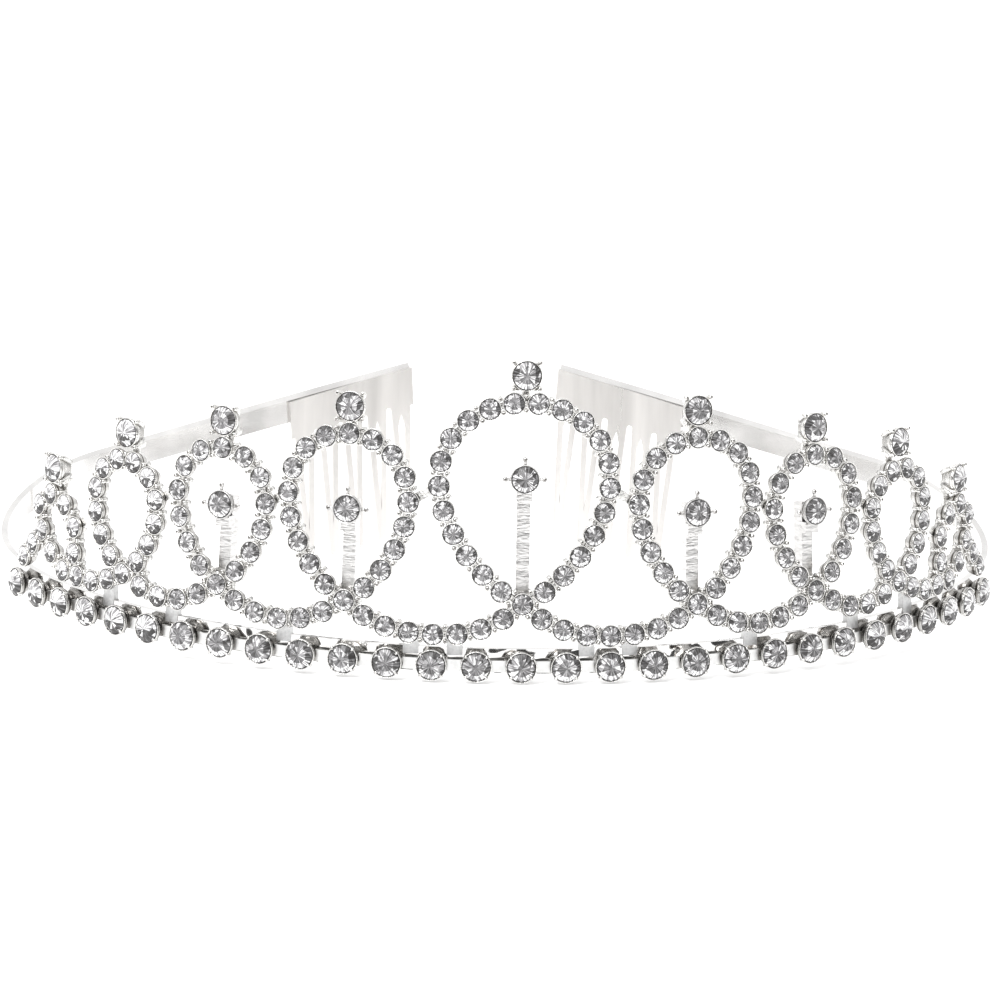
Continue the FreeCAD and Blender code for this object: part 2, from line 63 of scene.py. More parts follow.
MM = 0.001
SIDES = ("left", "right")
SEED = 11

# Points closer than this are one corner; a stone's back point lies this near its seat's.
WELD = 1e-6
SEAT_REACH = 20 * WELD
# Corners at this share of a stone's radius or more belong to its girdle.
GIRDLE_SHARE = 0.98
# A stone whose face is turned this far to the side gets painted reflections: a light half above and a
# dark half below.
SIDE_ON = 0.62

# Cups of the small stones, and the webs within a casting and from one casting to the next.
CUP_WALL = 0.18 * MM
CUP_DEPTH = 1.9 * MM
WEB_DEPTH = 1.7 * MM
WEB_WIDTH = 1.5 * MM
JOINT_WEB_WIDTH = 1.4 * MM
WEB_REACH = 4.15 * MM
JOINT_REACH = 4.6 * MM

# Cups of the chain.
CHAIN_CUP_RADIUS = 2.3 * MM
CHAIN_CUP_DEPTH = 1.8 * MM
CHAIN_CLAWS = 4

# Colours and sockets that the materials share.
# A warm dark mixed into toned metal: painted shade and painted dark reflections.
PAINTED_SHADE_REFLECTION_COLOR = (0.09, 0.08, 0.07, 1)
# Greys of the painted reflections in the stones.
REFLECTION_STEPS = ((0.25, 0.1), (0.55, 0.22), (0.75, 0.45))
MIX_COLOR_A = 6
MIX_COLOR_B = 7
MIX_COLOR_RESULT = 2

# The floor: half its side, and its distance below the tiara.
FLOOR_HALF = 6.0
FLOOR_GAP = 0.0002

# The camera, fitted to the stones in the photograph. Angles in degrees; the last value is
# how far the target stands right of and above the middle of the picture.
CAMERA_DISTANCE = 0.8
CAMERA_LENS = 200.5
CAMERA_SENSOR = 36.0
CAMERA_NEAR = 0.05
CAMERA_AZIMUTH = -3.68
CAMERA_ELEVATION = 9.71
CAMERA_ROLL = 1.26
CAMERA_ASIDE = (3.89 * MM, -25.3 * MM)

# Tones of the settings' metal: the plain plate, and painted shade in grooves and seats, with a painted
# dark reflection on the tips of beads.
PLAIN = 1.0
# A light painted shade.
LIGHT_PAINTED_SHADE = 0.7
SHADED = 0.35
# A painted dark reflection on the tips of beads.
PAINTED_DARK_REFLECTION = 0.2
DARK = 0.05

LOOPS = ["loop_1_centre"] + ["loop_%d_%s" % (n, side) for n in (2, 3, 4, 5) for side in SIDES]
SWAGS = ["swag_%d_%s" % (n, side) for n in (1, 2, 3, 4) for side in SIDES]
BRACES = ["end_brace_" + side for side in SIDES]
FINIALS = ["finial_" + loop[5:] for loop in LOOPS]
SPIKES = ["spike_" + loop[5:] for loop in LOOPS[:5]]
SMALL_STONES = ["stones_" + loop for loop in LOOPS] + ["swag_stones_" + side for side in SIDES]


# ---------------------------------------------------------------- reading the frame

def islands(node):
    """The corner points of every separate solid of a CAD node."""
    mesh = bmesh.new()
    mesh.from_mesh(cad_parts[node].data)
    bmesh.ops.remove_doubles(mesh, verts=mesh.verts, dist=WELD)
    mesh.verts.index_update()
    seen = set()
    found = []
    for first in mesh.verts:
        if first.index in seen:
            continue
        seen.add(first.index)
        stack = [first]
        points = []
        while stack:
            vert = stack.pop()
            points.append(vert.co.copy())
            for edge in vert.link_edges:
                other = edge.other_vert(vert)
                if other.index not in seen:
                    seen.add(other.index)
                    stack.append(other)
        found.append(points)
    mesh.free()
    return found


def facing(point, normal):
    """A frame at a point: local Z along the normal, local Y as near to upright as possible."""
    across = Vector((0, 0, 1)).cross(normal).normalized()
    up = normal.cross(across)
    axes = Matrix((across, up, normal)).transposed().to_4x4()
    axes.translation = point
    return axes


def stone_seats(node):
    """Where each stone of a node sits: its girdle's frame, its radius and its back point."""
    seats = []
    for points in islands(node):
        cloud = np.array(points)
        middle = cloud.mean(0)
        values, vectors = np.linalg.eigh(np.cov((cloud - middle).T))
        odd = 0 if values[1] - values[0] > values[2] - values[1] else 2
        normal = vectors[:, odd]
        depth = (cloud - middle) @ normal
        if depth.max() > -depth.min():
            normal = -normal
            depth = -depth
        apex = Vector(cloud[depth.argmin()])
        normal = Vector(normal)
        spans = [((p - apex) - normal * (p - apex).dot(normal)).length for p in points]
        radius = max(spans)
        girdle = [p for p, span in zip(points, spans) if span > GIRDLE_SHARE * radius]
        level = sum((p - apex).dot(normal) for p in girdle) / len(girdle)
        seats.append({"at": facing(apex + normal * level, normal), "radius": radius,
                      "apex": apex, "normal": normal, "point": apex + normal * level})
    return seats


def corners_of(names):
    """Every named casting with the corner points of all its solids."""
    return {name: [point for island in islands(name) for point in island] for name in names}


def casting_of(seat, castings):
    """The casting whose seat has the stone's back point as one of its corners."""
    for name, corners in castings.items():
        if min((corner - seat["apex"]).length for corner in corners) < SEAT_REACH:
            return name
    raise RuntimeError("a stone lies in no casting")


# ---------------------------------------------------------------- mesh helpers

class Mesh:
    """Gathers faces, each with a tone that its material reads."""

    def __init__(self):
        self.points = []
        self.faces = []
        self.tones = []
        self.smooth = []
        self.cuts = []

    def add(self, points, faces, at=Matrix(), tone=PLAIN, smooth=False, cuts=None):
        start = len(self.points)
        self.points += [at @ Vector(point) for point in points]
        self.cuts += cuts or [(0, 0, 0)] * len(points)
        self.faces += [[start + index for index in face] for face in faces]
        self.tones += tone if isinstance(tone, list) else [tone] * len(faces)
        self.smooth += [smooth] * len(faces)

    def lathe(self, profile, at, tones, segments=28):
        """Turns a (radius, height) profile round local Z; ends on the axis are closed."""
        points = []
        faces = []
        rings = []
        for radius, height in profile:
            if radius == 0:
                rings.append([len(points)] * segments)
                points.append((0, 0, height))
            else:
                rings.append([len(points) + n for n in range(segments)])
                for n in range(segments):
                    turn = 2 * math.pi * n / segments
                    points.append((radius * math.cos(turn), radius * math.sin(turn), height))
        for low, high in zip(rings, rings[1:]):
            for n in range(segments):
                m = (n + 1) % segments
                faces.append(list(dict.fromkeys((low[n], low[m], high[m], high[n]))))
        self.add(points, faces, at, [tone for tone in tones for _ in range(segments)], True)

    def bead(self, point, normal, radius, segments=12):
        """A small ball, with painted shade at its back and a painted dark reflection on its tip."""
        rings = 6
        profile = [(radius * math.sin(math.pi * n / rings), -radius * math.cos(math.pi * n / rings))
                   for n in range(rings + 1)]
        profile[0] = (0, -radius)
        profile[-1] = (0, radius)
        # Painted shade on the two back rings, a painted dark reflection on the tip.
        tones = [SHADED, SHADED, PLAIN, PLAIN, PLAIN, PAINTED_DARK_REFLECTION]
        self.lathe(profile, facing(point, normal), tones, segments)

    def tube(self, path, radii, segments=12):
        """A round rod through the points of a path, with a radius at each, and closed ends."""
        points = []
        faces = []
        for n, (point, radius) in enumerate(zip(path, radii)):
            before = path[max(n - 1, 0)]
            after = path[min(n + 1, len(path) - 1)]
            axes = facing(point, (after - before).normalized() + Vector((0, 1e-5, 0)))
            for k in range(segments):
                turn = 2 * math.pi * k / segments
                points.append(axes @ Vector((radius * math.cos(turn), radius * math.sin(turn), 0)))
        for n in range(len(path) - 1):
            for k in range(segments):
                m = (k + 1) % segments
                faces.append([n * segments + k, n * segments + m,
                              (n + 1) * segments + m, (n + 1) * segments + k])
        faces.append(list(range(segments))[::-1])
        faces.append([(len(path) - 1) * segments + k for k in range(segments)])
        self.add(points, faces, smooth=True)

    def finished(self, name, material, node_names):
        """Makes the piece that stands in for the named CAD nodes."""
        data = bpy.data.meshes.new(name)
        data.from_pydata(self.points, [], self.faces)
        data.update()
        tone = data.attributes.new("tone", "FLOAT", "FACE")
        tone.data.foreach_set("value", self.tones)
        cut = data.attributes.new("cut", "FLOAT_VECTOR", "POINT")
        cut.data.foreach_set("vector", [value for spot in self.cuts for value in spot])
        data.polygons.foreach_set("use_smooth", self.smooth)
        data.materials.append(material)
        piece = bpy.data.objects.new(name, data)
        bpy.context.scene.collection.objects.link(piece)
        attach(piece, "root")
        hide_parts(*node_names)


# ---------------------------------------------------------------- materials

def new_material(name):
    """A material with its nodes, its links and its main shader."""
    material = bpy.data.materials.new(name)
    material.use_nodes = True
    nodes = material.node_tree.nodes
    shader = next(node for node in nodes if node.type == "BSDF_PRINCIPLED")
    return material, nodes, material.node_tree.links, shader


def metal(name, color, roughness, grain, bump, stretch=(1, 1, 1), toned=False, wavy=False):
    """Plated metal: uneven polish, faint clouding, small dents, and painted shade and painted dark
    reflections where it is toned.

    Wavy metal is also buckled by the soldering at the front of the tiara.
    """
    material, nodes, links, shader = new_material(name)
    shader.inputs["Metallic"].default_value = 1.0
    place = nodes.new("ShaderNodeTexCoord")
    mapping = nodes.new("ShaderNodeMapping")
    mapping.inputs["Scale"].default_value = stretch
    links.new(place.outputs["Object"], mapping.inputs["Vector"])
    noise = nodes.new("ShaderNodeTexNoise")
    noise.inputs["Scale"].default_value = grain
    noise.inputs["Detail"].default_value = 4.0
    links.new(mapping.outputs["Vector"], noise.inputs["Vector"])
    ramp = nodes.new("ShaderNodeMapRange")
    ramp.inputs["To Min"].default_value = roughness * 0.6
    ramp.inputs["To Max"].default_value = roughness * 1.5
    links.new(noise.outputs["Fac"], ramp.inputs["Value"])
    links.new(ramp.outputs["Result"], shader.inputs["Roughness"])
    tint = nodes.new("ShaderNodeValToRGB")
    tint.color_ramp.elements[0].position = 0.3
    tint.color_ramp.elements[0].color = (*[c * 0.72 for c in color], 1)
    tint.color_ramp.elements[1].position = 0.7
    tint.color_ramp.elements[1].color = (*color, 1)
    links.new(noise.outputs["Fac"], tint.inputs["Fac"])
    surface = tint.outputs["Color"]
    if toned:
        tone = nodes.new("ShaderNodeAttribute")
        tone.attribute_name = "tone"
        # Painted shade and painted dark reflections: the tone attribute mixes the metal towards a warm
        # dark.
        painted_shade_and_reflection = nodes.new("ShaderNodeMix")
        painted_shade_and_reflection.data_type = "RGBA"
        painted_shade_and_reflection.inputs[MIX_COLOR_A].default_value = PAINTED_SHADE_REFLECTION_COLOR
        links.new(tone.outputs["Fac"], painted_shade_and_reflection.inputs["Factor"])
        links.new(surface, painted_shade_and_reflection.inputs[MIX_COLOR_B])
        surface = painted_shade_and_reflection.outputs[MIX_COLOR_RESULT]
    links.new(surface, shader.inputs["Base Color"])
    dents = nodes.new("ShaderNodeBump")
    dents.inputs["Strength"].default_value = bump
    dents.inputs["Distance"].default_value = 0.0001
    links.new(noise.outputs["Fac"], dents.inputs["Height"])
    links.new(dents.outputs["Normal"], shader.inputs["Normal"])
    if wavy:
        waves = nodes.new("ShaderNodeTexNoise")
        waves.inputs["Scale"].default_value = 260.0
        waves.inputs["Detail"].default_value = 1.0
        links.new(place.outputs["Object"], waves.inputs["Vector"])
        split = nodes.new("ShaderNodeSeparateXYZ")
        links.new(place.outputs["Object"], split.inputs["Vector"])
        front = nodes.new("ShaderNodeMapRange")
        front.inputs["From Min"].default_value = -0.03
        front.inputs["From Max"].default_value = -0.045
        links.new(split.outputs["Y"], front.inputs["Value"])
        height = nodes.new("ShaderNodeMath")
        height.operation = "MULTIPLY"
        links.new(waves.outputs["Fac"], height.inputs[0])
        links.new(front.outputs["Result"], height.inputs[1])
        buckle = nodes.new("ShaderNodeBump")
        buckle.inputs["Strength"].default_value = 1.0
        buckle.inputs["Distance"].default_value = 0.0012
        links.new(height.outputs["Value"], buckle.inputs["Height"])
        links.new(buckle.outputs["Normal"], dents.inputs["Normal"])
    return material


def crystal():
    """Cut glass painted with its reflections: facets of painted dark and bright reflection, crossed by
    fine painted radial streaks.
    """
    material, nodes, links, shader = new_material("crystal")
    tone = nodes.new("ShaderNodeAttribute")
    tone.attribute_name = "tone"
    cut = nodes.new("ShaderNodeAttribute")
    cut.attribute_name = "cut"
    split = nodes.new("ShaderNodeSeparateXYZ")
    links.new(cut.outputs["Vector"], split.inputs["Vector"])
    turn = nodes.new("ShaderNodeMath")
    turn.operation = "ARCTAN2"
    links.new(split.outputs["Y"], turn.inputs[0])
    links.new(split.outputs["X"], turn.inputs[1])
    length = nodes.new("ShaderNodeVectorMath")
    length.operation = "LENGTH"
    flat = nodes.new("ShaderNodeCombineXYZ")
    links.new(split.outputs["X"], flat.inputs["X"])
    links.new(split.outputs["Y"], flat.inputs["Y"])
    links.new(flat.outputs["Vector"], length.inputs[0])
    polar = nodes.new("ShaderNodeCombineXYZ")
    links.new(turn.outputs["Value"], polar.inputs["X"])
    links.new(length.outputs["Value"], polar.inputs["Y"])
    links.new(split.outputs["Z"], polar.inputs["Z"])
    stretch = nodes.new("ShaderNodeMapping")
    stretch.inputs["Scale"].default_value = (4.5, 0.8, 1.0)
    links.new(polar.outputs["Vector"], stretch.inputs["Vector"])
    streaks = nodes.new("ShaderNodeTexNoise")
    streaks.inputs["Scale"].default_value = 1.6
    streaks.inputs["Detail"].default_value = 2.0
    links.new(stretch.outputs["Vector"], streaks.inputs["Vector"])
    spread = nodes.new("ShaderNodeMapRange")
    spread.inputs["From Min"].default_value = 0.3
    spread.inputs["From Max"].default_value = 0.7
    spread.inputs["To Min"].default_value = -0.4
    spread.inputs["To Max"].default_value = 0.4
    links.new(streaks.outputs["Fac"], spread.inputs["Value"])
    # Painted reflection: the facet's tone plus the streaks picks a grey from dark to white.
    reflection = nodes.new("ShaderNodeMath")
    reflection.operation = "ADD"
    reflection.use_clamp = True
    links.new(tone.outputs["Fac"], reflection.inputs[0])
    links.new(spread.outputs["Result"], reflection.inputs[1])
    ramp = nodes.new("ShaderNodeValToRGB")
    ramp.color_ramp.elements[0].color = (0.045, 0.043, 0.042, 1)
    ramp.color_ramp.elements[1].color = (1.0, 1.0, 1.0, 1)
    ramp.color_ramp.elements[1].position = 0.95
    for position, grey in REFLECTION_STEPS:
        step = ramp.color_ramp.elements.new(position)
        step.color = (grey, grey * 0.98, grey, 1)
    links.new(reflection.outputs["Value"], ramp.inputs["Fac"])
    links.new(ramp.outputs["Color"], shader.inputs["Base Color"])
    shader.inputs["Roughness"].default_value = 0.1
    shader.inputs["Specular IOR Level"].default_value = 0.35
    return material


SETTING_METAL = metal("setting_silver", (0.84, 0.83, 0.81), 0.18, 2600, 0.9, toned=True)
BRIDGE_METAL = metal("bridge_silver", (0.82, 0.81, 0.79), 0.25, 1500, 0.9)
BAND_METAL = metal("band_silver", (0.80, 0.79, 0.78), 0.1, 120, 0.15, wavy=True)
COMB_METAL = metal("comb_silver", (0.78, 0.76, 0.74), 0.3, 260, 0.12, (1, 1, 0.1))
SPIKE_METAL = metal("spike_silver", (0.78, 0.77, 0.76), 0.3, 1400, 1.0, (0.6, 0.6, 2.2), toned=True)
POST_METAL = metal("post_silver", (0.82, 0.82, 0.82), 0.5, 2200, 0.4)
LINK_METAL = metal("link_silver", (0.86, 0.86, 0.85), 0.35, 700, 0.3)
CRYSTAL = crystal()


# ---------------------------------------------------------------- stones

def stone_tone(draw, ring, turn, side_on):
    """Tone of a facet, a painted reflection: dark in the upper crown and low in the table, a white
    lower crown.
    """
    low = -math.sin(turn)
    chance = draw.random()
    if ring == "edge":
        return 0.3 * chance
    if side_on:
        if low < 0.1:
            return 0.6 + 0.3 * chance
        return 0.9 if chance > 0.8 else 0.3 * chance
    if ring == "centre":
        return 0.2 + 0.4 * chance
    if ring == "table":
        return 0.2 + 0.3 * chance if low > 0.6 else 0.3 + 0.5 * chance
    if low > 0.5:
        return 0.6 + 0.4 * chance
    return 0.1 + 0.2 * chance if chance < 0.55 else 0.2 + 0.6 * chance


def cut_stone(mesh, seat, draw):
    """A round cut: a table in sixteen wedges painted as the facets seen through it, stars, kites and a
    girdle of painted dark reflection.
    """
    r = seat["radius"]
    at = seat["at"] @ Matrix.Rotation(draw.uniform(0, math.pi / 4), 4, "Z")
    spin = at.to_3x3().col[0]
    flat = seat["at"].to_3x3()
    offset = math.atan2(spin.dot(flat.col[1]), spin.dot(flat.col[0]))
    side_on = abs(seat["normal"].x) > SIDE_ON
    top = 0.34 * r
    sample = draw.uniform(0, 100)

    def ring(count, radius, height, phase=0.0):
        return [(radius * math.cos(2 * math.pi * (n + phase) / count),
                 radius * math.sin(2 * math.pi * (n + phase) / count), height)
                for n in range(count)]

    def facet(kind, *corners):
        x = sum(c[0] for c in corners) / len(corners)
        y = sum(c[1] for c in corners) / len(corners)
        turn = math.atan2(y, x) + offset
        mesh.add(corners, [list(range(len(corners)))], at, stone_tone(draw, kind, turn, side_on),
                 cuts=[(c[0] / r, c[1] / r, sample) for c in corners])

    table = ring(16, 0.58 * r, top)
    inner = ring(16, 0.26 * r, top)
    stars = ring(8, 0.76 * r, 0.22 * r, 0.5)
    outer = ring(16, 0.95 * r, 0.06 * r)
    girdle = ring(16, r, 0.0)
    apex = (0, 0, -0.8 * r)
    for n in range(16):
        m = (n + 1) % 16
        facet("table", inner[n], table[n], table[m], inner[m])
        facet("centre", (0, 0, top), inner[n], inner[m])
        facet("edge", outer[n], girdle[n], girdle[m], outer[m])
        facet("edge", girdle[n], apex, girdle[m])
    for n in range(8):
        m = (n + 1) % 8
        facet("crown", table[2 * n], stars[n], table[2 * n + 1])
        facet("crown", table[2 * n + 1], stars[n], table[(2 * n + 2) % 16])
        facet("crown", stars[n], outer[2 * n], outer[2 * n + 1])
        facet("crown", stars[n], outer[2 * n + 1], outer[(2 * n + 2) % 16])
        facet("crown", table[2 * m], stars[n], outer[2 * m], stars[m])


def make_stones():
    """Cuts every stone in its place, and returns the seats for the settings."""
    draw = random.Random(SEED)
    seats = {}
    for node in ["chain_stones", "finial_stones", "spike_stones"] + SMALL_STONES:
        mesh = Mesh()
        seats[node] = stone_seats(node)
        for seat in seats[node]:
            cut_stone(mesh, seat, draw)
        mesh.finished("cut_" + node, CRYSTAL, [node])
    return seats


# ---------------------------------------------------------------- settings

def cup(mesh, seat, outer, depth):
    """A turned cup, tapered to the back, with a groove under its thin rim."""
    r = seat["radius"]
    rim = 0.06 * MM
    groove = 0.16 * MM
    profile = [(0, -depth), (0.6 * outer, -depth), (0.7 * outer, -0.85 * depth),
               (outer - groove, -0.42 * depth), (outer - groove, -0.3 * depth),
               (outer, -0.2 * depth), (outer, rim), (outer - 0.04 * MM, 1.6 * rim),
               (r + 0.03 * MM, rim), (r, -0.1 * depth), (0.5 * r, -0.5 * depth), (0, -0.6 * depth)]
    # Painted shade: darker at the back, dark in the groove and inside the seat, lighter on the cup's
    # walls; the rim is left plain.
    tones = [SHADED, SHADED, LIGHT_PAINTED_SHADE, DARK, DARK, LIGHT_PAINTED_SHADE, PLAIN, PLAIN, DARK, DARK, DARK]
    mesh.lathe(profile, seat["at"], tones=tones)


def web(mesh, a, b, width, depth):
    """A waisted saddle between two cups, with a bead on each side of the junction."""
    span = b["point"] - a["point"]
    normal = (a["normal"] + b["normal"]).normalized()
    along = (span - normal * span.dot(normal)).normalized()
    across = normal.cross(along)
    middle = (a["point"] + b["point"]) / 2
    points = []
    shares = (0.25, 0.4, 0.5, 0.6, 0.75)
    widths = (1.0, 0.72, 0.62, 0.72, 1.0)
    for share, wide in zip(shares, widths):
        spot = a["point"] + span * share
        for side, level in ((-1, -0.25), (-0.8, -0.08), (0.8, -0.08), (1, -0.25),
                            (1, -1), (-1, -1)):
            points.append(spot + across * side * wide * width / 2 + normal * level * depth)
    ring = 6
    faces = []
    for n in range(len(shares) - 1):
        for k in range(ring):
            m = (k + 1) % ring
            faces.append([n * ring + k, n * ring + m, (n + 1) * ring + m, (n + 1) * ring + k])
    faces.append(list(range(ring))[::-1])
    faces.append([(len(shares) - 1) * ring + k for k in range(ring)])
    # A light painted shade over the whole web.
    mesh.add(points, faces, tone=LIGHT_PAINTED_SHADE)
    for side in (-1, 1):
        claw = middle + across * side * 1.05 * MM
        mesh.bead(claw - normal * 0.02 * MM, normal, 0.36 * MM, 10)
        mesh.tube([claw - normal * 1.3 * MM, claw], [0.42 * MM, 0.26 * MM], 8)


def neighbours(seats, reach):
    """Pairs of seats that stand next to each other."""
    pairs = []
    for n, a in enumerate(seats):
        for b in seats[n + 1:]:
            if (a["point"] - b["point"]).length < reach:
                pairs.append((a, b))
    return pairs


def make_castings(seats):
    """Loops, swags and braces: the cups of each casting with their webs and beads."""
    castings = corners_of(LOOPS + SWAGS + BRACES)
    members = {name: [] for name in castings}
    for node in SMALL_STONES:
        for seat in seats[node]:
            members[casting_of(seat, castings)].append(seat)
    everything = [seat for group in members.values() for seat in group]
    for name, group in members.items():
        mesh = Mesh()
        for seat in group:
            cup(mesh, seat, seat["radius"] + CUP_WALL, CUP_DEPTH)
        pairs = neighbours(group, WEB_REACH)
        for a, b in pairs:
            web(mesh, a, b, WEB_WIDTH, WEB_DEPTH)
        if name not in LOOPS:
            for seat in group:
                if sum(seat in pair for pair in pairs) < 2:
                    others = [s for s in everything if s not in group]
                    near = min(others, key=lambda s: (s["point"] - seat["point"]).length)
                    if (near["point"] - seat["point"]).length < JOINT_REACH:
                        web(mesh, seat, near, JOINT_WEB_WIDTH, WEB_DEPTH)
        mesh.finished("set_" + name, SETTING_METAL, [name])


def make_chain_cups(seats):
    """Round cups with four small claws folded over each stone."""
    mesh = Mesh()
    for seat in seats["chain_stones"]:
        cup(mesh, seat, CHAIN_CUP_RADIUS, CHAIN_CUP_DEPTH)
        for n in range(CHAIN_CLAWS):
            turn = math.pi / 4 + n * math.pi / 2
            out = seat["at"].to_3x3() @ Vector((math.cos(turn), math.sin(turn), 0))
            root = seat["point"] + out * 2.2 * MM - seat["normal"] * 0.5 * MM
            shoulder = seat["point"] + out * 2.2 * MM + seat["normal"] * 0.15 * MM
            tip = seat["point"] + out * 1.95 * MM + seat["normal"] * 0.34 * MM
            mesh.tube([root, shoulder, tip], [0.26 * MM, 0.25 * MM, 0.14 * MM], 8)
    mesh.finished("set_chain_cups", SETTING_METAL, ["chain_cups"])


def box_points(at, low, high, taper=1.0):
    """Corners of a block in a frame; its back face is scaled by the taper."""
    points = []
    for z in (low[2], high[2]):
        scale = taper if z == low[2] else 1.0
        for x, y in ((low[0], low[1]), (high[0], low[1]), (high[0], high[1]), (low[0], high[1])):
            points.append(at @ Vector((x * scale, y * scale, z)))
    return points


BLOCK_FACES = [[0, 3, 2, 1], [4, 5, 6, 7], [0, 1, 5, 4], [1, 2, 6, 5], [2, 3, 7, 6], [3, 0, 4, 7]]


def make_finials(seats):
    """Basket settings: a square base, four arms that lean out to claws, and a ring."""
    castings = corners_of(FINIALS)
    for seat in seats["finial_stones"]:
        name = casting_of(seat, castings)
        mesh = Mesh()
        at = seat["at"]
        r = seat["radius"]
        profile = [(0.5 * r, -2.3 * MM), (0.72 * r, -2.3 * MM), (0.98 * r, -0.75 * MM),
                   (1.06 * r, -0.6 * MM), (1.07 * r, 0.05 * MM), (1.02 * r, 0.1 * MM),
                   (r, -0.1 * MM), (0.5 * r, -1.4 * MM)]
        # Painted shade: darker at the back, dark under the ring's ledge and inside the seat.
        mesh.lathe(profile, at, tones=[SHADED, PLAIN, DARK, PLAIN, PLAIN, DARK, DARK])
        for x in (-1, 1):
            for y in (-1, 1):
                path = [(0.9, 0.9, -2.4), (1.55, 1.5, -1.4), (1.9, 1.88, -0.4), (1.92, 1.9, 0.05)]
                spots = [at @ Vector((x * px * MM, y * py * MM, pz * MM)) for px, py, pz in path]
                mesh.tube(spots, [0.5 * MM, 0.42 * MM, 0.38 * MM, 0.3 * MM], 8)
                mesh.bead(spots[-1], seat["normal"], 0.36 * MM)
        mesh.add(box_points(at, (-2.1 * MM, -2.2 * MM, -2.5 * MM), (2.1 * MM, -1.6 * MM, -0.7 * MM),
                            0.85), BLOCK_FACES)
        for x in (-1.3, 0, 1.3):
            mesh.bead(at @ Vector((x * MM, -1.85 * MM, -0.75 * MM)), seat["normal"], 0.4 * MM, 10)
        neck_low = at @ Vector((0, -4.6 * MM, -2.45 * MM))
        neck_top = at @ Vector((0, -0.5 * MM, -2.3 * MM))
        mesh.tube([neck_low, neck_low.lerp(neck_top, 0.5), neck_top],
                  [0.8 * MM, 0.62 * MM, 0.9 * MM], 10)
        mesh.finished("set_" + name, SETTING_METAL, [name])


def make_spikes(seats):
    """Hammered square bars that end in a cup with three beaded pins."""
    castings = corners_of(SPIKES)
    for seat in seats["spike_stones"]:
        name = casting_of(seat, castings)
        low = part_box(name)[0]
        at = seat["at"]
        mesh = Mesh()
        cup(mesh, seat, seat["radius"] + 0.2 * MM, 2.0 * MM)
        for turn in (0, 90, 180):
            spoke = at @ Matrix.Rotation(math.radians(turn), 4, "Z")
            path = [spoke @ Vector((x * MM, 0, -0.4 * MM)) for x in (2.0, 2.5, 2.86)]
            mesh.tube(path, [0.32 * MM, 0.24 * MM, 0.3 * MM], 8)
            mesh.bead(path[-1], seat["normal"], 0.42 * MM)
        length = (at.translation.z - low.z) / at.to_3x3().col[1].z
        steps = 26
        points = []
        for n in range(steps + 1):
            y = -length + (length + 1.2 * MM) * n / steps
            wide = (0.97 + 0.03 * math.sin(2.1 * n)) * MM
            back = -4.0 * MM
            front = -2.04 * MM + 0.02 * MM * math.sin(3.7 * n)
            for x, z in ((-wide, back), (wide, back), (wide, front), (-wide, front)):
                points.append(at @ Vector((x, y, z)))
        faces = [[0, 1, 2, 3], [4 * steps + 3, 4 * steps + 2, 4 * steps + 1, 4 * steps]]
        for n in range(steps):
            for k in range(4):
                m = (k + 1) % 4
                faces.append([4 * n + k, 4 * n + 4 + k, 4 * n + 4 + m, 4 * n + m])
        mesh.add(points, faces)
        mesh.add(box_points(at, (-1.15 * MM, -3.3 * MM, -2.6 * MM), (1.15 * MM, -1.7 * MM, -0.9 * MM)),
                 BLOCK_FACES)
        mesh.finished("set_" + name, SPIKE_METAL, [name])


# ---------------------------------------------------------------- band, combs and small bars

def dress(node, material):
    """Gives a CAD node that stays as it is its metal."""
    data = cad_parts[node].data
    data.materials.clear()
    data.materials.append(material)


def dress_frame():
    """The pieces whose CAD shape is also their finished shape."""
    dress("headband", BAND_METAL)
    for side in SIDES:
        dress("comb_" + side, COMB_METAL)
    dress("chain_links", LINK_METAL)
    dress("bridge_bars", BRIDGE_METAL)
    dress("mounting_posts", POST_METAL)


# ---------------------------------------------------------------- floor, light and camera

def make_floor():
    """A white table, a little luminous so that it meets the background without an edge."""
    data = bpy.data.meshes.new("floor")
    half = FLOOR_HALF
    level = CAD_BOX[0].z - FLOOR_GAP
    data.from_pydata([(-half, -half, level), (half, -half, level), (half, half, level),
                      (-half, half, level)], [], [[0, 1, 2, 3]])
    material, _, _, shader = new_material("floor_white")
    shader.inputs["Base Color"].default_value = (0.93, 0.93, 0.93, 1)
    shader.inputs["Roughness"].default_value = 0.9
    shader.inputs["Specular IOR Level"].default_value = 0.1
    shader.inputs["Emission Color"].default_value = (1, 1, 1, 1)
    shader.inputs["Emission Strength"].default_value = 0.3
    data.materials.append(material)
    floor = bpy.data.objects.new("floor", data)
    bpy.context.scene.collection.objects.link(floor)


def area_light(name, place, target, size, power):
    """A round soft light that looks at its target."""
    data = bpy.data.lights.new(name, "AREA")
    data.shape = "DISK"
    data.size = size
    data.energy = power
    light = bpy.data.objects.new(name, data)
    light.location = place
    light.rotation_mode = "QUATERNION"
    light.rotation_quaternion = (Vector(target) - Vector(place)).to_track_quat("-Z", "Y")
    bpy.context.scene.collection.objects.link(light)


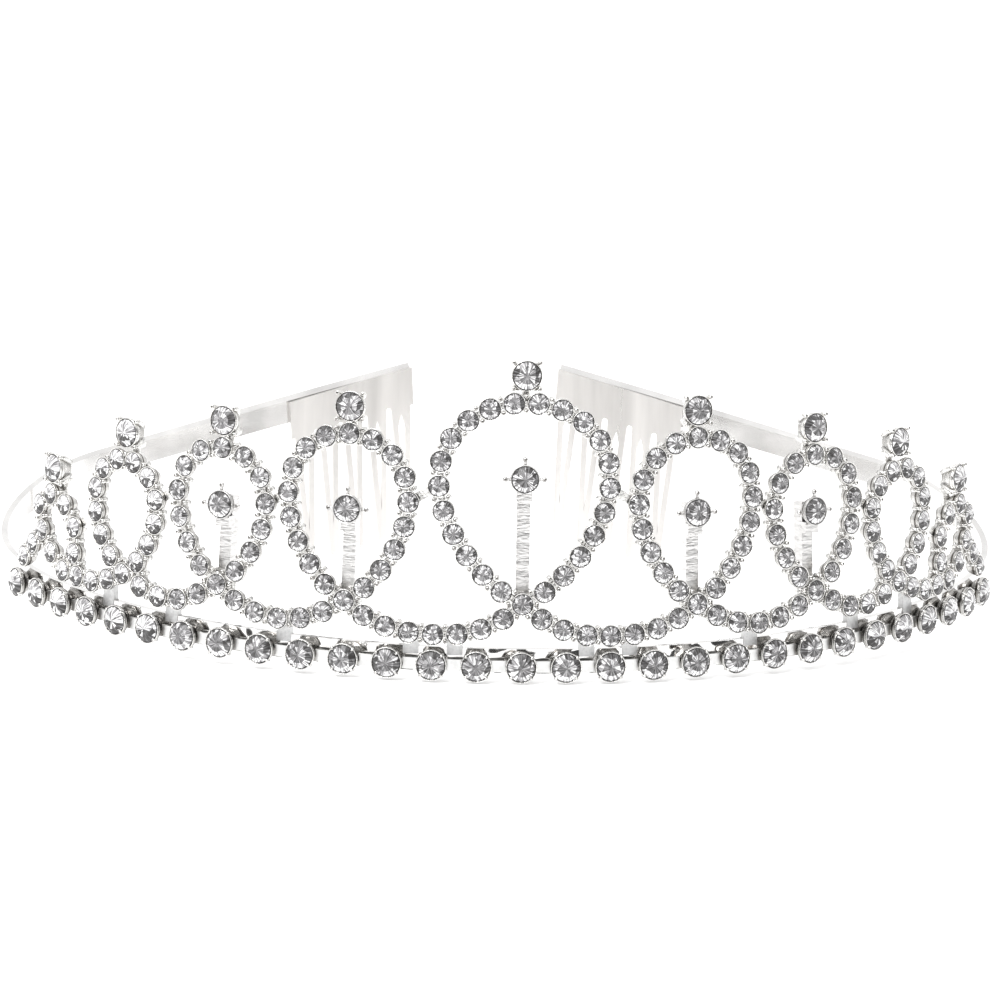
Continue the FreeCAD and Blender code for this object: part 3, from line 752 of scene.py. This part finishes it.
def make_light():
    """A white studio, darker low on the camera's side, and a soft box above on the left.

    It also sets the Standard view transform, which the tones of the scene are made for.
    """
    world = bpy.data.worlds.new("studio")
    world.use_nodes = True
    nodes = world.node_tree.nodes
    links = world.node_tree.links
    background = nodes["Background"]
    background.inputs["Strength"].default_value = 1.25
    place = nodes.new("ShaderNodeTexCoord")
    split = nodes.new("ShaderNodeSeparateXYZ")
    links.new(place.outputs["Generated"], split.inputs["Vector"])
    bright = []
    for axis, start, end in (("Z", 0.3, 0.75), ("Y", -0.5, 0.3)):
        share = nodes.new("ShaderNodeMapRange")
        share.inputs["From Min"].default_value = start
        share.inputs["From Max"].default_value = end
        links.new(split.outputs[axis], share.inputs["Value"])
        bright.append(share)
    widest = nodes.new("ShaderNodeMath")
    widest.operation = "MAXIMUM"
    for index, share in enumerate(bright):
        links.new(share.outputs["Result"], widest.inputs[index])
    ramp = nodes.new("ShaderNodeValToRGB")
    ramp.color_ramp.elements[0].color = (0.06, 0.06, 0.06, 1)
    ramp.color_ramp.elements[1].color = (1, 1, 1, 1)
    links.new(widest.outputs["Value"], ramp.inputs["Fac"])
    links.new(ramp.outputs["Color"], background.inputs["Color"])
    bpy.context.scene.world = world
    bpy.context.scene.view_settings.view_transform = "Standard"
    area_light("softbox", (-0.5, -0.7, 1.1), (0, 0, 0.02), 0.9, 16)


def make_camera():
    """A long lens at the photograph's angle, rolled a little about its axis."""
    azimuth = math.radians(CAMERA_AZIMUTH)
    elevation = math.radians(CAMERA_ELEVATION)
    roll = math.radians(CAMERA_ROLL)
    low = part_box("chain_stones")[0]
    target = Vector((0, low.y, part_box("chain_cups")[0].z + CHAIN_CUP_RADIUS))
    back = Vector((math.sin(azimuth) * math.cos(elevation),
                   -math.cos(azimuth) * math.cos(elevation), math.sin(elevation)))
    right = Vector((math.cos(azimuth), math.sin(azimuth), 0))
    up = back.cross(right)
    rolled_right = right * math.cos(roll) + up * math.sin(roll)
    rolled_up = up * math.cos(roll) - right * math.sin(roll)
    aside = Vector(CAMERA_ASIDE)
    data = bpy.data.cameras.new("camera")
    data.sensor_width = CAMERA_SENSOR
    data.lens = CAMERA_LENS
    camera = bpy.data.objects.new("camera", data)
    camera.rotation_mode = "QUATERNION"
    axes = Matrix((rolled_right, rolled_up, back)).transposed()
    camera.rotation_quaternion = axes.to_quaternion()
    camera.location = target + back * CAMERA_DISTANCE - rolled_right * aside.x - rolled_up * aside.y
    data.clip_start = CAMERA_NEAR
    bpy.context.scene.collection.objects.link(camera)
    bpy.context.scene.camera = camera


make_floor()
make_light()
make_camera()
SEATS = make_stones()
make_castings(SEATS)
make_chain_cups(SEATS)
make_finials(SEATS)
make_spikes(SEATS)
dress_frame()
